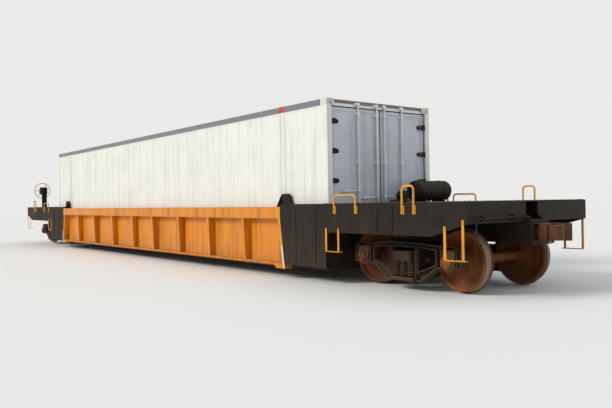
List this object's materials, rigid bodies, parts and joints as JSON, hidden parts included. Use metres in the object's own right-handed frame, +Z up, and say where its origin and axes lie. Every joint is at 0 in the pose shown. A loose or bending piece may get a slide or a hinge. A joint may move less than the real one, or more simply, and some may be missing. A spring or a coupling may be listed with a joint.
{
  "type": "single-well container flatcar with container",
  "caption": "Railway well flatcar on two four-wheel trucks, carrying a long dry-goods container seated in its well.",
  "frame": {"origin": "under the middle of the car, at the lowest point of the wheel flanges", "axes": "+X along the car towards the container's doors, +Y to the left of that, +Z up"},
  "size_m": [21.864, 3.064, 3.182],
  "materials": {
    "side_yellow": "weathered gloss paint",
    "end_black": "weathered satin paint",
    "floor_black": "weathered satin paint",
    "fitting_yellow": "weathered gloss paint",
    "truck_brown": "rusty and oily",
    "spring_steel": "rusty",
    "bearing_steel": "dusty",
    "wheel_rust": "rusty, with a worn tread",
    "coupler_rust": "rusty",
    "container_white": "chalky gloss paint",
    "door_grey": "chalky gloss paint",
    "container_floor": "dull",
    "rod_galvanised": "galvanised",
    "lifting_orange": "scuffed paint",
    "casting_white": "scuffed paint"
  },
  "bodies": {
    "car": {"air_brake_gear": "end_black", "body_bolster_a": "end_black", "body_bolster_b": "end_black", "brake_cylinder": "end_black", "container_guides": "end_black", "draft_sill_a": "end_black", "draft_sill_b": "end_black", "end_deck_a": "end_black", "end_deck_b": "end_black", "end_side_left_a": "end_black", "end_side_left_b": "end_black", "end_side_right_a": "end_black", "end_side_right_b": "end_black", "end_wall_a": "end_black", "end_wall_b": "end_black", "floor_bearers": "floor_black", "floor_braces": "floor_black", "hand_brake_stand": "end_black", "hand_brake_wheel": "fitting_yellow", "hoops_and_steps_a": "fitting_yellow", "hoops_and_steps_b": "fitting_yellow", "side_chord_left": "side_yellow", "side_chord_right": "side_yellow", "side_wall_left": "side_yellow", "side_wall_right": "side_yellow"},
    "wheelset_a1": {"axle_a1": "wheel_rust", "wheels_a1": "wheel_rust"},
    "wheelset_a2": {"axle_a2": "wheel_rust", "wheels_a2": "wheel_rust"},
    "wheelset_b1": {"axle_b1": "wheel_rust", "wheels_b1": "wheel_rust"},
    "wheelset_b2": {"axle_b2": "wheel_rust", "wheels_b2": "wheel_rust"},
    "truck_a": {"bearings_a": "bearing_steel", "brake_beams_a": "truck_brown", "side_frames_a": "truck_brown", "springs_a": "spring_steel", "truck_bolster_a": "truck_brown"},
    "truck_b": {"bearings_b": "bearing_steel", "brake_beams_b": "truck_brown", "side_frames_b": "truck_brown", "springs_b": "spring_steel", "truck_bolster_b": "truck_brown"},
    "container": {"container_door_left": "door_grey", "container_door_right": "door_grey", "container_floor": "container_floor", "container_front": "container_white", "container_rear_frame": "container_white", "container_roof": "container_white", "container_side_left": "container_white", "container_side_right": "container_white", "corner_castings": "casting_white", "lifting_castings": "lifting_orange", "lock_rods": "rod_galvanised"},
    "coupler_a": {"coupler_a": "coupler_rust", "knuckle_a": "coupler_rust"},
    "coupler_b": {"coupler_b": "coupler_rust", "knuckle_b": "coupler_rust"}
  },
  "joints": [
    {"name": "container_lift", "type": "slide", "parent": "car", "child": "container", "axis": [0, 0, 1], "range_m": [0, 1.4]},
    {"name": "truck_a_swivel", "type": "hinge", "parent": "car", "child": "truck_a", "pos_m": [8.85, 0, 0.682], "axis": [0, 0, 1], "range_deg": [-7, 7]},
    {"name": "wheelset_a1_spin", "type": "hinge", "parent": "truck_a", "child": "wheelset_a1", "pos_m": [7.961, 0, 0.485], "axis": [0, 1, 0], "continuous": true},
    {"name": "wheelset_a2_spin", "type": "hinge", "parent": "truck_a", "child": "wheelset_a2", "pos_m": [9.739, 0, 0.485], "axis": [0, 1, 0], "continuous": true},
    {"name": "coupler_a_swing", "type": "hinge", "parent": "car", "child": "coupler_a", "pos_m": [9.88, 0, 0.904], "axis": [0, 0, 1], "range_deg": [-7, 7]},
    {"name": "truck_b_swivel", "type": "hinge", "parent": "car", "child": "truck_b", "pos_m": [-8.85, 0, 0.682], "axis": [0, 0, 1], "range_deg": [-7, 7]},
    {"name": "wheelset_b1_spin", "type": "hinge", "parent": "truck_b", "child": "wheelset_b1", "pos_m": [-7.961, 0, 0.485], "axis": [0, 1, 0], "continuous": true},
    {"name": "wheelset_b2_spin", "type": "hinge", "parent": "truck_b", "child": "wheelset_b2", "pos_m": [-9.739, 0, 0.485], "axis": [0, 1, 0], "continuous": true},
    {"name": "coupler_b_swing", "type": "hinge", "parent": "car", "child": "coupler_b", "pos_m": [-9.88, 0, 0.904], "axis": [0, 0, 1], "range_deg": [-7, 7]}
  ]
}
